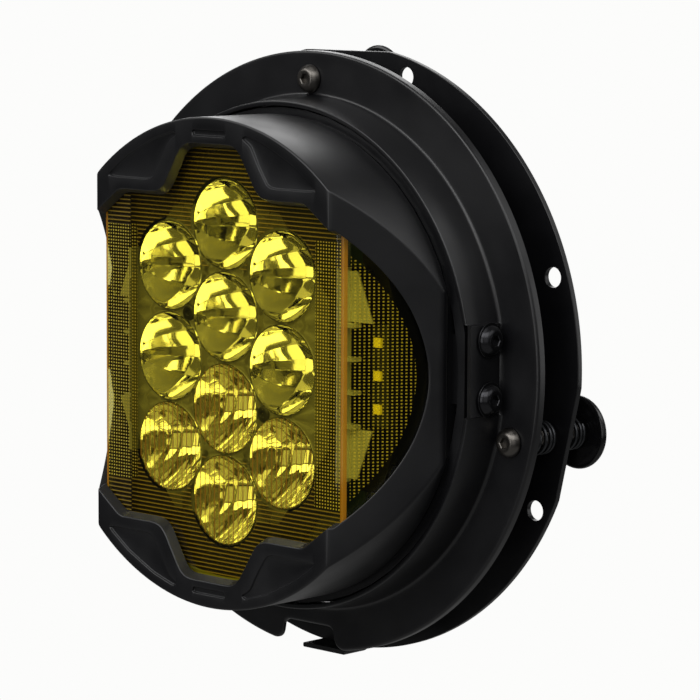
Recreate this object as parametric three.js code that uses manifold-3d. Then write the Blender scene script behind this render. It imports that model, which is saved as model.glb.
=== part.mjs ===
// Round auxiliary driving / fog lamp on a three-point adjustable mounting.
// Millimetres. X to the lamp's right as seen from the front, Y rearwards, Z up.
// Origin: on the lamp axis, at the back face of the mounting plate.

import * as THREE from 'three';
import { mergeVertices } from 'three/addons/utils/BufferGeometryUtils.js';
import Module from 'manifold-3d';

const wasm = await Module();
wasm.setup();

// ---- driving dimensions -------------------------------------------------

const GAP = 0.3; // clearance between touching pieces

// lamp pod
const FACE_Y = -66; // front face of the bezel
const POD_R = 79.8; // outer radius of the pod
const POD_FLAT_X = 75; // side flats of the pod
const FOLD_X = 53.5; // vertical folds where the sides begin to slope back
const SLOPE = 1.38; // rearward fall of the sloped sides, mm per mm
const BEZEL_BACK_Y = -34.5;
const BEZEL_LAND = 3.6; // thickness of the bezel's front land
const BEZEL_WALL = 5.2; // thickness of the bezel's skirt
const WINDOW_R = 71; // radius of the side windows
const LENS_R = 72.4;
const LENS_FLAT_X = 71.7;
const LENS_T = 3;

// reflector cups, close packed
const CUP_R = 14.4;
const CUP_PITCH = 30;
const CUP_COLUMN_X = CUP_PITCH * Math.cos(Math.PI / 6);
const CUP_FRONT_Y = -57.6;
const CUP_BACK_Y = -40.5;
const LED_EXIT_R = 4;

// housing behind the bezel
const RIM_R = 79.4;
const RIM_FLAT_X = 74.2;
const RIM_FRONT_Y = -33.2;
const RIM_BACK_Y = -29.5;
const WALL_R = 74.5;
const COLLAR_FRONT_R = 81.9; // collar that seats inside the front ring's boss
const COLLAR_BACK_R = 83.4;
const FLOOR_Y = -2; // back of the housing floor
const FIN_BACK_Y = 18;
const BEZEL_SCREW_R = 77.4; // pitch radius of the bezel screws

// front ring
const SHEET = 1.5;
const RING_R = 100;
const BOSS_FRONT_Y = -33.5;
const BOSS_FRONT_R = 83.9;
const BOSS_BACK_R = 85.4;
const FLANGE_Y = -19.5; // front face of the flange
const RING_LIP_Y = -16.4; // rear edge of the rolled rim
const PAD_X = 84.2; // outer face of the side pads
const PAD_Z = 2.5;
const PAD_HALF_Z = 14.7;
const SIDE_SCREW_Z = 9.4; // half the spacing of the two side screws
const SIDE_SCREW_Y = -25;
const NOTCH_HALF_X = 11.5;
const NOTCH_TOP_Z = -91.5;

// mounting plate
const PLATE_R = 101.5;
const PLATE_T = 2;
const PLATE_BORE_R = 84.5;
const CHORD_R = 99.7; // distance of the three trimmed edges from the axis
const BOLT_R = 95.5;
const BOLT_HOLE_R = 3.25;
const BOLT_ANGLES = [73.9, 106.1, 18.7, 161.3, -28.1, 208.1, -75.5, -104.5];
const LIP_FRONT_Y = -12;
const LIP_HALF_X = 9.7;

// aiming adjusters
const ADJUSTER_R = 90.8;
const ADJUSTER_ANGLES = { top: 90, right: -13.1, left: 193.1 };
const M5_R = 2.5;
const HEAD_R = 4.75;
const HEAD_H = 2.75;
const ADJUSTER_END_Y = 19;
const SPRING_R = 4.85; // mean coil radius
const WIRE_R = 0.65;
const COIL_PITCH = 3.2;
const KNOB_Y = 12.4;
const KNOB_R = 12;
const TOP_KNOB_R = 10.4;
const KNOB_RIM = 2.2;
const KNOB_HUB = 4;

// ---- geometry helpers ---------------------------------------------------

const rad = THREE.MathUtils.degToRad;

// A closed three.js geometry as a solid, with its faces turned outwards.
function solid(geometry) {
  const bare = geometry.index ? geometry.toNonIndexed() : geometry.clone();
  bare.deleteAttribute('normal');
  bare.deleteAttribute('uv');
  const merged = mergeVertices(bare, 1e-4);
  const vertProperties = new Float32Array(merged.attributes.position.array);
  const triVerts = new Uint32Array(dropSlivers(merged.index.array));
  const make = () => new wasm.Manifold(new wasm.Mesh({ numProp: 3, vertProperties, triVerts }));
  if (signedVolume(vertProperties, triVerts) < 0) {
    for (let i = 0; i < triVerts.length; i += 3) {
      [triVerts[i + 1], triVerts[i + 2]] = [triVerts[i + 2], triVerts[i + 1]];
    }
  }
  return make();
}

function dropSlivers(index) {
  const kept = [];
  for (let i = 0; i < index.length; i += 3) {
    const [a, b, c] = [index[i], index[i + 1], index[i + 2]];
    if (a !== b && b !== c && a !== c) kept.push(a, b, c);
  }
  return kept;
}

function signedVolume(points, index) {
  const corner = (i) => new THREE.Vector3().fromArray(points, 3 * index[i]);
  let sum = 0;
  for (let i = 0; i < index.length; i += 3) {
    sum += corner(i).dot(corner(i + 1).cross(corner(i + 2)));
  }
  return sum / 6;
}

function toGeometry(body) {
  const mesh = body.getMesh();
  const geometry = new THREE.BufferGeometry();
  geometry.setAttribute('position', new THREE.BufferAttribute(new Float32Array(mesh.vertProperties), 3));
  geometry.setIndex(new THREE.BufferAttribute(new Uint32Array(mesh.triVerts), 1));
  geometry.computeVertexNormals();
  return geometry;
}

// A profile of [radius, y] points turned about the lamp axis.
function turned(profile, segments) {
  const points = profile.map(([r, y]) => new THREE.Vector2(r, y));
  return solid(new THREE.LatheGeometry(points, segments));
}

function box(x0, x1, y0, y1, z0, z1) {
  const geometry = new THREE.BoxGeometry(x1 - x0, y1 - y0, z1 - z0);
  geometry.translate((x0 + x1) / 2, (y0 + y1) / 2, (z0 + z1) / 2);
  return solid(geometry);
}

// A round bar along Y, centred on (x, z).
function rodY(r, y0, y1, x = 0, z = 0, segments = 24) {
  const geometry = new THREE.CylinderGeometry(r, r, y1 - y0, segments);
  geometry.translate(x, (y0 + y1) / 2, z);
  return solid(geometry);
}

function rodX(r, x0, x1, y, z, segments = 12) {
  const geometry = new THREE.CylinderGeometry(r, r, Math.abs(x1 - x0), segments);
  geometry.rotateZ(Math.PI / 2);
  geometry.translate((x0 + x1) / 2, y, z);
  return solid(geometry);
}

// An outline in the XZ plane carried along Y.
function prismY(points, y0, y1) {
  const shape = new THREE.Shape(points.map(([x, z]) => new THREE.Vector2(x, z)));
  const geometry = new THREE.ExtrudeGeometry(shape, { depth: y1 - y0, bevelEnabled: false });
  geometry.rotateX(Math.PI / 2);
  geometry.translate(0, y1, 0);
  return solid(geometry);
}

// An outline in the XY plane carried along Z, centred on z = 0.
function prismZ(points, height) {
  const shape = new THREE.Shape(points.map(([x, y]) => new THREE.Vector2(x, y)));
  const geometry = new THREE.ExtrudeGeometry(shape, { depth: height, bevelEnabled: false });
  geometry.translate(0, 0, -height / 2);
  return solid(geometry);
}

const union = (bodies) => bodies.reduce((all, body) => all.add(body));
const cut = (body, tools) => tools.reduce((rest, tool) => rest.subtract(tool), body);
const polar = (r, degrees) => [r * Math.cos(rad(degrees)), r * Math.sin(rad(degrees))];

// Points around a circle of radius r that is trimmed by flats at x = +-flat.
function trimmedCircle(r, flat, steps = 48) {
  const points = [];
  for (let i = 0; i < steps; i += 1) {
    const [x, z] = polar(r, (360 * (i + 0.5)) / steps);
    points.push([THREE.MathUtils.clamp(x, -flat, flat), z]);
  }
  return points;
}

const ring2 = (outer, inner, y0, y1) => prismY(outer, y0, y1).subtract(prismY(inner, y0 - 1, y1 + 1));

// Height of the pod's folded front at x.
const frontY = (x) => FACE_Y + SLOPE * Math.max(0, Math.abs(x) - FOLD_X);

// ---- bezel and lens -----------------------------------------------------

// One quarter of the bezel's opening, from the top centre to the side centre.
// The scallops follow the close-packed cups; the side is part of a circle.
const OPENING_QUARTER = [
  [0, 69.9],
  [9.2, 69.9],
  [12, 69.1],
  [14, 67.2],
  [18.3, 60],
  [20.4, 56.4],
  [22.6, 54.2],
  [25.6, 53.3],
  [42.6, 53.3],
  [FOLD_X, 45.4],
];

function openingOutline(sideSteps) {
  const quarter = [...OPENING_QUARTER];
  const start = Math.atan2(45.4, Math.sqrt(WINDOW_R ** 2 - 45.4 ** 2));
  for (let i = 0; i <= sideSteps; i += 1) {
    const angle = start * (1 - i / sideSteps);
    quarter.push([WINDOW_R * Math.cos(angle), WINDOW_R * Math.sin(angle)]);
  }
  return mirrored(quarter);
}

// Mirrors a quarter outline, given from +Z to +X, into a closed outline.
function mirrored(quarter) {
  const down = quarter.slice(0, -1).reverse().map(([x, z]) => [x, -z]);
  const right = [...quarter, ...down];
  const left = right.slice(1, -1).reverse().map(([x, z]) => [-x, z]);
  return [...right, ...left];
}

// A slab with the pod's folded front, from front + y0 to front + y1.
function foldedSlab(y0, y1, reach) {
  const front = [-reach, -FOLD_X, FOLD_X, reach];
  const near = front.map((x) => [x, frontY(x) + y0]);
  const far = front.map((x) => [x, frontY(x) + y1]).reverse();
  return prismZ([...near, ...far], 2 * POD_R + 10);
}

function bezelScrewSpots() {
  return [40, 90, 140, 220, 270, 320].map((angle) => polar(BEZEL_SCREW_R, angle));
}

// Crescent pockets sunk in the bezel's face above and below the opening.
function crescentPockets() {
  const depth = 0.7;
  const pocket = [
    [14.6, 73.2],
    [18.6, 71.2],
    [22.3, 64.6],
    [26.4, 58.6],
    [43.6, 58.6],
    [48.2, 59.4],
    [38.6, 66],
    [26.5, 71.6],
    [15.6, 74.8],
  ];
  const slot = [[-7.6, 73.4], [7.6, 73.4], [7.6, 75.8], [-7.6, 75.8]];
  const flip = (points, sx, sz) => points.map(([x, z]) => [sx * x, sz * z]);
  const outlines = [];
  for (const sz of [1, -1]) {
    outlines.push(flip(pocket, 1, sz), flip(pocket, -1, sz), flip(slot, 1, sz));
  }
  return outlines.map((outline) => prismY(outline, FACE_Y - 1, FACE_Y + depth));
}

function bezel() {
  const skirt = prismY(trimmedCircle(POD_R, POD_FLAT_X, 64), FACE_Y, BEZEL_BACK_Y);
  const front = foldedSlab(0, 60, 90);
  const inside = prismY(trimmedCircle(POD_R - BEZEL_WALL, POD_FLAT_X - 2.4, 64), FACE_Y, BEZEL_BACK_Y + 1);
  const hollow = inside.intersect(foldedSlab(BEZEL_LAND, 60, 90));
  const opening = prismY(openingOutline(9), FACE_Y - 1, BEZEL_BACK_Y + 1);
  const bores = bezelScrewSpots().map(([x, z]) => rodY(1.6, -44, BEZEL_BACK_Y + 1, x, z, 8));
  return cut(skirt.intersect(front), [hollow, opening, ...bores, ...crescentPockets()]);
}

function outerLens() {
  const start = BEZEL_LAND + 0.4;
  const slab = foldedSlab(start, start + LENS_T, 90);
  return slab.intersect(prismY(trimmedCircle(LENS_R, LENS_FLAT_X), FACE_Y, RIM_BACK_Y));
}

function lensGasket() {
  const outer = trimmedCircle(RIM_R - 0.4, RIM_FLAT_X);
  const inner = trimmedCircle(POD_R - BEZEL_WALL + 0.3, RIM_FLAT_X - 1.7);
  const pad = ring2(outer, inner, BEZEL_BACK_Y + GAP, RIM_FRONT_Y - GAP);
  return cut(pad, bezelScrewSpots().map(([x, z]) => rodY(1.7, -40, -30, x, z, 8)));
}

// Socket-cap screw with its head towards +Y, tightened from behind.
function bezelScrew([x, z]) {
  const shank = rodY(1.3, -42, RIM_BACK_Y + GAP, x, z, 8);
  const head = rodY(2.4, RIM_BACK_Y + GAP, RIM_BACK_Y + GAP + 2.6, x, z, 14);
  const socket = rodY(1.2, RIM_BACK_Y + GAP + 1.2, RIM_BACK_Y + 6, x, z, 6);
  return shank.add(head).subtract(socket);
}

// ---- optics and electronics ---------------------------------------------

const CUP_CENTRES = [
  [0, 1.5],
  [0, 0.5],
  [0, -0.5],
  [0, -1.5],
  [-1, 1],
  [-1, 0],
  [-1, -1],
  [1, 1],
  [1, 0],
  [1, -1],
].map(([column, row]) => [column * CUP_COLUMN_X, row * CUP_PITCH]);

const REFLECTOR_SCREWS = [
  [(-2 * CUP_COLUMN_X) / 3, CUP_PITCH / 2],
  [(2 * CUP_COLUMN_X) / 3, -CUP_PITCH / 2],
];

const CARD_OUTLINE = mirrored([[0, 62], [14, 62], [24, 50], [43, 48], [46, 42], [46, 0]]);

function cup(grow, front, back, exit) {
  const mid = (front + back) / 2;
  const profile = [
    [0, front],
    [CUP_R + grow, front],
    [CUP_R * 0.78 + grow, mid],
    [exit, back],
    [0, back],
  ];
  return turned(profile, 12);
}

function reflector() {
  const plate = prismY(CARD_OUTLINE, CUP_FRONT_Y, CUP_FRONT_Y + 1.6);
  const shell = cup(0.55, CUP_FRONT_Y + 0.8, CUP_BACK_Y, LED_EXIT_R + 0.9);
  const hollow = cup(0, CUP_FRONT_Y - 0.5, CUP_BACK_Y + 0.5, LED_EXIT_R);
  const shells = union(CUP_CENTRES.map(([x, z]) => shell.translate([x, 0, z])));
  const hollows = CUP_CENTRES.map(([x, z]) => hollow.translate([x, 0, z]));
  const holes = REFLECTOR_SCREWS.map(([x, z]) => rodY(1.6, -60, -30, x, z, 10));
  return cut(plate.add(shells), [...hollows, ...holes]);
}

function reflectorScrew([x, z]) {
  const shank = rodY(1.2, CUP_FRONT_Y - 0.5, -36, x, z, 8);
  return shank.add(rodY(2.5, CUP_FRONT_Y - 1, CUP_FRONT_Y - GAP, x, z, 14));
}

function ledBoard() {
  const card = prismY(CARD_OUTLINE, CUP_BACK_Y + GAP, CUP_BACK_Y + GAP + 1.6);
  return cut(card, REFLECTOR_SCREWS.map(([x, z]) => rodY(1.6, -45, -30, x, z, 10)));
}

function emitter([x, z]) {
  const half = 1.75;
  return box(x - half, x + half, CUP_BACK_Y - 0.9, CUP_BACK_Y, z - half, z + half);
}

// Aluminium plate that takes the heat of the board into the housing posts.
function ledCarrier() {
  const plate = prismY(mirrored([[0, 62], [24, 62], [40, 52], [48, 42], [48, 0]]), -38.3, -34);
  return cut(plate, REFLECTOR_SCREWS.map(([x, z]) => rodY(1.6, -45, -30, x, z, 10)));
}

function driverBoard() {
  const card = prismY(trimmedCircle(44, 44, 32), -21.6, -20);
  const parts = [
    box(-30, -14, -28, -21.5, 8, 24),
    box(12, 30, -26, -21.5, -10, 10),
    rodY(5, -29, -21.5, -22, -18, 10),
    rodY(5, -29, -21.5, 4, -30, 10),
  ];
  return union([card, ...parts]);
}

const SIDE_LEDS_Z = [10.6, 0, -10.6];
const SIDE_LED_X = 56.8;
const TRAY_X = 47.5; // inner edge of the side trays
const TRAY_Y = -44; // front face of a tray's floor

// Mirror-finished tray behind each side window: web, dividers and two ramps.
function sideTray(side) {
  const outline = [[TRAY_X, -38], [56, -38], [61, -24], [63.4, -10], [63.4, 10], [61, 24], [56, 38], [TRAY_X, 38]];
  const floor = prismY(outline, TRAY_Y, TRAY_Y + 1.5);
  const web = box(TRAY_X, TRAY_X + 1.2, -56, TRAY_Y + 1, -34, 34);
  const divider = (z) => box(TRAY_X, 53.2, -54, TRAY_Y + 1, z - 0.6, z + 0.6);
  const wedge = (s) => prismY([[TRAY_X, s * 17], [58.5, s * 17], [52, s * 33], [TRAY_X, s * 33]], -51, TRAY_Y + 1);
  const dividers = [-16, -5.3, 5.3, 16].map(divider);
  const tray = union([floor, web, ...dividers, wedge(1), wedge(-1)]);
  return side > 0 ? tray : tray.mirror([1, 0, 0]);
}

function sideLedBoard(side) {
  const card = box(53.5, 60.1, TRAY_Y - GAP - 1.6, TRAY_Y - GAP, -16.5, 16.5);
  return side > 0 ? card : card.mirror([1, 0, 0]);
}

function sideLed(side, z) {
  const x = side * SIDE_LED_X;
  const back = TRAY_Y - 2 * GAP - 1.6;
  return box(x - 1.5, x + 1.5, back - 1, back, z - 1.5, z + 1.5);
}

// ---- housing ------------------------------------------------------------

const GLAND_Z = -40;

function housing() {
  const rim = ring2(trimmedCircle(RIM_R, RIM_FLAT_X), trimmedCircle(73.4, 72.3), RIM_FRONT_Y, RIM_BACK_Y);
  const cup = turned(
    [
      [0, FLOOR_Y - 5],
      [67, FLOOR_Y - 5],
      [71.5, -12],
      [71.5, RIM_BACK_Y - 1],
      [WALL_R, RIM_BACK_Y - 1],
      [WALL_R, -12],
      [71, FLOOR_Y],
      [0, FLOOR_Y],
    ],
    48,
  ).intersect(box(-RIM_FLAT_X, RIM_FLAT_X, -60, 30, -90, 90));
  const fins = [];
  for (let i = -6; i <= 6; i += 1) {
    fins.push(box(i * 9.6 - 1.1, i * 9.6 + 1.1, FLOOR_Y - 1, FIN_BACK_Y, -80, 80));
  }
  const finSpace = rodY(68, FLOOR_Y - 2, FIN_BACK_Y + 1, 0, 0, 36).subtract(rodY(13, -30, 30, 0, GLAND_Z, 16));
  const finBlock = union(fins).intersect(finSpace);
  const posts = [[-30, 40], [30, 40], [-30, -40], [30, -40]].map(([x, z]) => rodY(4, -33.7, FLOOR_Y - 4, x, z, 12));
  const standoffs = [[-34, 0], [34, 0]].map(([x, z]) => rodY(3.5, -19.7, FLOOR_Y - 4, x, z, 12));
  const collar = turned(
    [
      [78, -32.4],
      [COLLAR_FRONT_R, -32.4],
      [COLLAR_BACK_R, -18],
      [COLLAR_BACK_R - 1.5, -18],
      [COLLAR_FRONT_R - 1.5, -29.9],
      [78, -29.9],
      [78, -32.4],
    ],
    48,
  ).intersect(box(-80.6, 80.6, -60, 30, -90, 90));
  const lugs = [1, -1].map((s) => {
    const [x0, x1] = s > 0 ? [66, 80.6] : [-80.6, -66];
    return box(x0, x1, -31, -18, PAD_Z - 11, PAD_Z + 11);
  });
  const threads = sideScrewSpots().map(([s, z]) => rodX(2.8, s * 70, s * 90, SIDE_SCREW_Y, z));
  const clearance = bezelScrewSpots().map(([x, z]) => rodY(1.6, -40, -20, x, z, 8));
  const inlet = rodY(7.3, -20, 10, 0, GLAND_Z, 16);
  const breather = rodY(3.3, -20, FLOOR_Y + 1, 4.8, 44, 12);
  const body = union([rim, cup, collar, finBlock, ...posts, ...standoffs, ...lugs]);
  return cut(body, [...threads, ...clearance, inlet, breather]);
}

// Cable gland: hexagon body in the floor, with a dome nut on it. Bore left open for the lead.
function glandBody() {
  const thread = rodY(6.9, FLOOR_Y - 6, FLOOR_Y + GAP, 0, GLAND_Z, 16);
  const hexagon = rodY(9.5, FLOOR_Y + GAP, FLOOR_Y + 5, 0, GLAND_Z, 6);
  const neck = rodY(6, FLOOR_Y + 4.9, FLOOR_Y + 11, 0, GLAND_Z, 12);
  return union([thread, hexagon, neck]).subtract(rodY(3.6, -30, 30, 0, GLAND_Z, 12));
}

function glandNut() {
  const outside = turned([[0, FLOOR_Y + 5.3], [8.6, FLOOR_Y + 5.3], [8.6, FLOOR_Y + 11.5], [6.2, FIN_BACK_Y - 2], [0, FIN_BACK_Y - 2]], 16);
  const inside = turned([[0, FLOOR_Y + 5], [6.3, FLOOR_Y + 5], [6.3, FLOOR_Y + 11.3], [3.6, FIN_BACK_Y - 3.4], [3.6, FIN_BACK_Y], [0, FIN_BACK_Y]], 16);
  return outside.subtract(inside).translate([0, 0, GLAND_Z]);
}

function ventPlug() {
  return rodY(3, FLOOR_Y - 5, FLOOR_Y + GAP, 4.8, 44, 12).add(rodY(3.6, FLOOR_Y + GAP, FLOOR_Y + 2.4, 4.8, 44, 16));
}

// ---- ring, plate and adjusters -------------------------------------------

function sideScrewSpots() {
  const spots = [];
  for (const side of [1, -1]) {
    for (const dz of [SIDE_SCREW_Z, -SIDE_SCREW_Z]) spots.push([side, PAD_Z + dz]);
  }
  return spots;
}

const adjusterSpot = (name) => polar(ADJUSTER_R, ADJUSTER_ANGLES[name]);

function frontRing() {
  const ring = turned(
    [
      [BOSS_FRONT_R - SHEET, BOSS_FRONT_Y],
      [BOSS_FRONT_R, BOSS_FRONT_Y],
      [BOSS_BACK_R, FLANGE_Y - 0.3],
      [BOSS_BACK_R + 0.3, FLANGE_Y],
      [RING_R - 1.2, FLANGE_Y],
      [RING_R, FLANGE_Y + 1.2],
      [RING_R, RING_LIP_Y],
      [RING_R - SHEET, RING_LIP_Y],
      [RING_R - SHEET, FLANGE_Y + SHEET],
      [BOSS_BACK_R - SHEET, FLANGE_Y + SHEET],
      [BOSS_FRONT_R - SHEET, BOSS_FRONT_Y],
    ],
    64,
  );
  const padZ = [PAD_Z - PAD_HALF_Z, PAD_Z + PAD_HALF_Z];
  const faces = [box(PAD_X, 95, -40, FLANGE_Y, ...padZ), box(-95, -PAD_X, -40, FLANGE_Y, ...padZ)];
  const pads = [1, -1].map((s) => {
    const [x0, x1] = s > 0 ? [80.9, PAD_X] : [-PAD_X, -80.9];
    return box(x0, x1, BOSS_FRONT_Y + 0.1, FLANGE_Y + SHEET, ...padZ);
  });
  const half = NOTCH_HALF_X;
  const top = NOTCH_TOP_Z;
  const notch = prismY(
    [
      [-half - 3, -104],
      [-half - 3, -99.4],
      [-half, -96.4],
      [-half, top - 3],
      [-half + 3, top],
      [half - 3, top],
      [half, top - 3],
      [half, -96.4],
      [half + 3, -99.4],
      [half + 3, -104],
    ],
    -30,
    0,
  );
  const screws = Object.keys(ADJUSTER_ANGLES).map((name) => rodY(3, -30, 0, ...adjusterSpot(name), 12));
  const sides = sideScrewSpots().map(([s, z]) => rodX(2.8, s * 70, s * 95, SIDE_SCREW_Y, z));
  return cut(union([ring, ...pads]), [...faces, notch, ...screws, ...sides]);
}

function mountingPlate() {
  const disc = ring2(trimmedCircle(PLATE_R, PLATE_R, 90), trimmedCircle(PLATE_BORE_R, PLATE_BORE_R, 48), -PLATE_T, 0);
  const chords = Object.values(ADJUSTER_ANGLES).map((angle) => {
    const blade = box(CHORD_R, CHORD_R + 10, -10, 10, -40, 40);
    return blade.rotate([0, -angle, 0]);
  });
  const lip = union([
    box(-LIP_HALF_X, LIP_HALF_X, LIP_FRONT_Y, -0.4, -102.2, -100.6),
    box(-LIP_HALF_X, LIP_HALF_X, -PLATE_T, 0, -101.8, -99),
  ]);
  const reliefs = [1, -1].map((s) => box(s * 11.2 - 1.3, s * 11.2 + 1.3, -5, 5, -104, -98.4));
  const bolts = BOLT_ANGLES.map((angle) => rodY(BOLT_HOLE_R, -5, 5, ...polar(BOLT_R, angle), 12));
  const screws = ['left', 'right'].map((name) => rodY(3.4, -5, 5, ...adjusterSpot(name), 12));
  const top = rodY(4, -5, 5, ...adjusterSpot('top'), 12);
  return cut(disc, [...chords, ...reliefs]).add(lip).subtract(union([...bolts, ...screws, top]));
}

// Button-head screw lying along +Y, head at y = 0 and below, shank above.
function buttonScrew(length) {
  const head = turned(
    [
      [0, -HEAD_H],
      [HEAD_R * 0.52, -HEAD_H],
      [HEAD_R * 0.86, -HEAD_H * 0.6],
      [HEAD_R, 0],
      [0, 0],
    ],
    16,
  );
  return head.add(rodY(M5_R, -1, length, 0, 0, 12)).subtract(rodY(1.75, -5, -HEAD_H + 1.5, 0, 0, 6));
}

function adjusterScrew(name) {
  const start = FLANGE_Y - GAP;
  const [x, z] = adjusterSpot(name);
  return buttonScrew(ADJUSTER_END_Y - start).translate([x, start, z]);
}

function sideScrew(side, z) {
  const screw = buttonScrew(13).rotate([0, 0, side > 0 ? 90 : -90]);
  return screw.translate([side * (PAD_X + GAP), SIDE_SCREW_Y, z]);
}

class Coil extends THREE.Curve {
  constructor(y0, y1) {
    super();
    this.y0 = y0;
    this.y1 = y1;
    this.turns = (y1 - y0) / COIL_PITCH;
  }

  getPoint(t, target = new THREE.Vector3()) {
    const angle = 2 * Math.PI * this.turns * t;
    const y = THREE.MathUtils.lerp(this.y0, this.y1, t);
    return target.set(SPRING_R * Math.cos(angle), y, SPRING_R * Math.sin(angle));
  }
}

function spring(name, y0, y1) {
  const coil = new Coil(y0 + GAP + WIRE_R, y1 - GAP - WIRE_R);
  const section = new THREE.Shape();
  for (let i = 0; i < 5; i += 1) {
    const [a, b] = polar(WIRE_R, 72 * i);
    if (i === 0) section.moveTo(a, b);
    else section.lineTo(a, b);
  }
  const steps = Math.round(coil.turns * 9);
  const [x, z] = adjusterSpot(name);
  return solid(new THREE.ExtrudeGeometry(section, { steps, extrudePath: coil })).translate([x, 0, z]);
}

function knob(name) {
  const r = name === 'top' ? TOP_KNOB_R : KNOB_R;
  const outside = turned(
    [
      [0, KNOB_Y],
      [r - 0.4, KNOB_Y],
      [r, KNOB_Y + KNOB_RIM / 2],
      [r - 0.4, KNOB_Y + KNOB_RIM],
      [5, KNOB_Y + KNOB_RIM],
      [5, KNOB_Y + KNOB_RIM + KNOB_HUB],
      [0, KNOB_Y + KNOB_RIM + KNOB_HUB],
    ],
    20,
  );
  const [x, z] = adjusterSpot(name);
  return outside.subtract(rodY(M5_R + GAP, 0, 40, 0, 0, 12)).translate([x, 0, z]);
}

// ---- materials and assembly ----------------------------------------------

const finish = (color, roughness, metalness) => ({ color, roughness, metalness });
const POWDER_BLACK = finish(0x1a1a1c, 0.5, 0.2);
const CAST_BLACK = finish(0x17181a, 0.6, 0.3);
const AMBER = { ...finish(0xe0c010, 0.08, 0), transparent: true, opacity: 0.45 };
const RUBBER = finish(0x101010, 0.9, 0);
const MIRROR = finish(0xd8d8cf, 0.08, 1);
const BOARD = finish(0x1f4a33, 0.6, 0.1);
const WHITE_BOARD = finish(0xdadad4, 0.5, 0.1);
const PHOSPHOR = finish(0xf2d53c, 0.4, 0);
const ALUMINIUM = finish(0xa8abad, 0.4, 0.9);
const GUNMETAL = finish(0x4c4a48, 0.35, 0.9);
const BLACK_OXIDE = finish(0x222222, 0.3, 0.8);
const SPRING_STEEL = finish(0x2a2a2a, 0.3, 0.9);
const NYLON = finish(0x121212, 0.45, 0);

const lamp = new THREE.Group();

function place(name, body, look) {
  const mesh = new THREE.Mesh(toGeometry(body), new THREE.MeshStandardMaterial(look));
  mesh.name = name;
  lamp.add(mesh);
}

place('bezel', bezel(), CAST_BLACK);
place('outer_lens', outerLens(), AMBER);
place('lens_gasket', lensGasket(), RUBBER);
bezelScrewSpots().forEach((spot, i) => place(`bezel_screw_${i + 1}`, bezelScrew(spot), BLACK_OXIDE));
place('reflector', reflector(), MIRROR);
REFLECTOR_SCREWS.forEach((spot, i) => place(`reflector_screw_${i + 1}`, reflectorScrew(spot), BLACK_OXIDE));
place('led_board', ledBoard(), WHITE_BOARD);
CUP_CENTRES.forEach((spot, i) => place(`led_emitter_${i + 1}`, emitter(spot), PHOSPHOR));
place('led_carrier', ledCarrier(), ALUMINIUM);
place('driver_board', driverBoard(), BOARD);
for (const [side, hand] of [[1, 'right'], [-1, 'left']]) {
  place(`side_tray_${hand}`, sideTray(side), MIRROR);
  place(`side_led_board_${hand}`, sideLedBoard(side), BOARD);
  SIDE_LEDS_Z.forEach((z, i) => place(`side_led_${hand}_${i + 1}`, sideLed(side, z), PHOSPHOR));
}
place('housing', housing(), CAST_BLACK);
place('gland_body', glandBody(), NYLON);
place('gland_nut', glandNut(), NYLON);
place('vent_plug', ventPlug(), NYLON);
place('front_ring', frontRing(), POWDER_BLACK);
sideScrewSpots().forEach(([side, z]) => {
  const hand = side > 0 ? 'right' : 'left';
  place(`side_screw_${hand}_${z > PAD_Z ? 'upper' : 'lower'}`, sideScrew(side, z), BLACK_OXIDE);
});
place('mounting_plate', mountingPlate(), POWDER_BLACK);
for (const name of Object.keys(ADJUSTER_ANGLES)) {
  place(`adjuster_screw_${name}`, adjusterScrew(name), GUNMETAL);
  place(`front_spring_${name}`, spring(name, FLANGE_Y + SHEET, -PLATE_T), SPRING_STEEL);
  place(`rear_spring_${name}`, spring(name, 0, KNOB_Y), SPRING_STEEL);
  place(`thumb_knob_${name}`, knob(name), NYLON);
}

export default lamp;
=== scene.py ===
"""Round auxiliary lamp with a yellow lens, on a three-point adjustable mounting plate."""

import math

import bpy
import numpy as np
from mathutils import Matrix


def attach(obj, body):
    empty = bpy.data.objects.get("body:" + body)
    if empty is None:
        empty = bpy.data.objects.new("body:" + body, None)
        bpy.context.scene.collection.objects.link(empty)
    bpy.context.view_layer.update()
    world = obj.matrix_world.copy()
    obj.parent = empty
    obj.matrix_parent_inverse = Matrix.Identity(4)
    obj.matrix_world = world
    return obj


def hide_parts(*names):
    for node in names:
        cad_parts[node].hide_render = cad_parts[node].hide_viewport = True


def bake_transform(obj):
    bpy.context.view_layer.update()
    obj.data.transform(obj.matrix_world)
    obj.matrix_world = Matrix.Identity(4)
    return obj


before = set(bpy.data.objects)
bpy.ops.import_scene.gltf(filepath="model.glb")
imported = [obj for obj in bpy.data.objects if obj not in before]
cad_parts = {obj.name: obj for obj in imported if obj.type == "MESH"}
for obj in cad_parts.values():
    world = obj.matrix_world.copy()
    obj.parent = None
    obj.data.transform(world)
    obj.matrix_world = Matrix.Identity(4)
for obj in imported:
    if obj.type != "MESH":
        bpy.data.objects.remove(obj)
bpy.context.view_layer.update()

# ---- camera ---------------------------------------------------------------
# A long lens, in front of the lamp and to its right, seven degrees above the axis.
# Its distance and focal length set how fast the rings shrink towards the back.

AZIMUTH = math.radians(43.65)
ELEVATION = math.radians(7.11)
ROLL = math.radians(0.308)
DISTANCE = 1.0292
TARGET = np.array([0.06304, -0.066, 0.01053])

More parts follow.
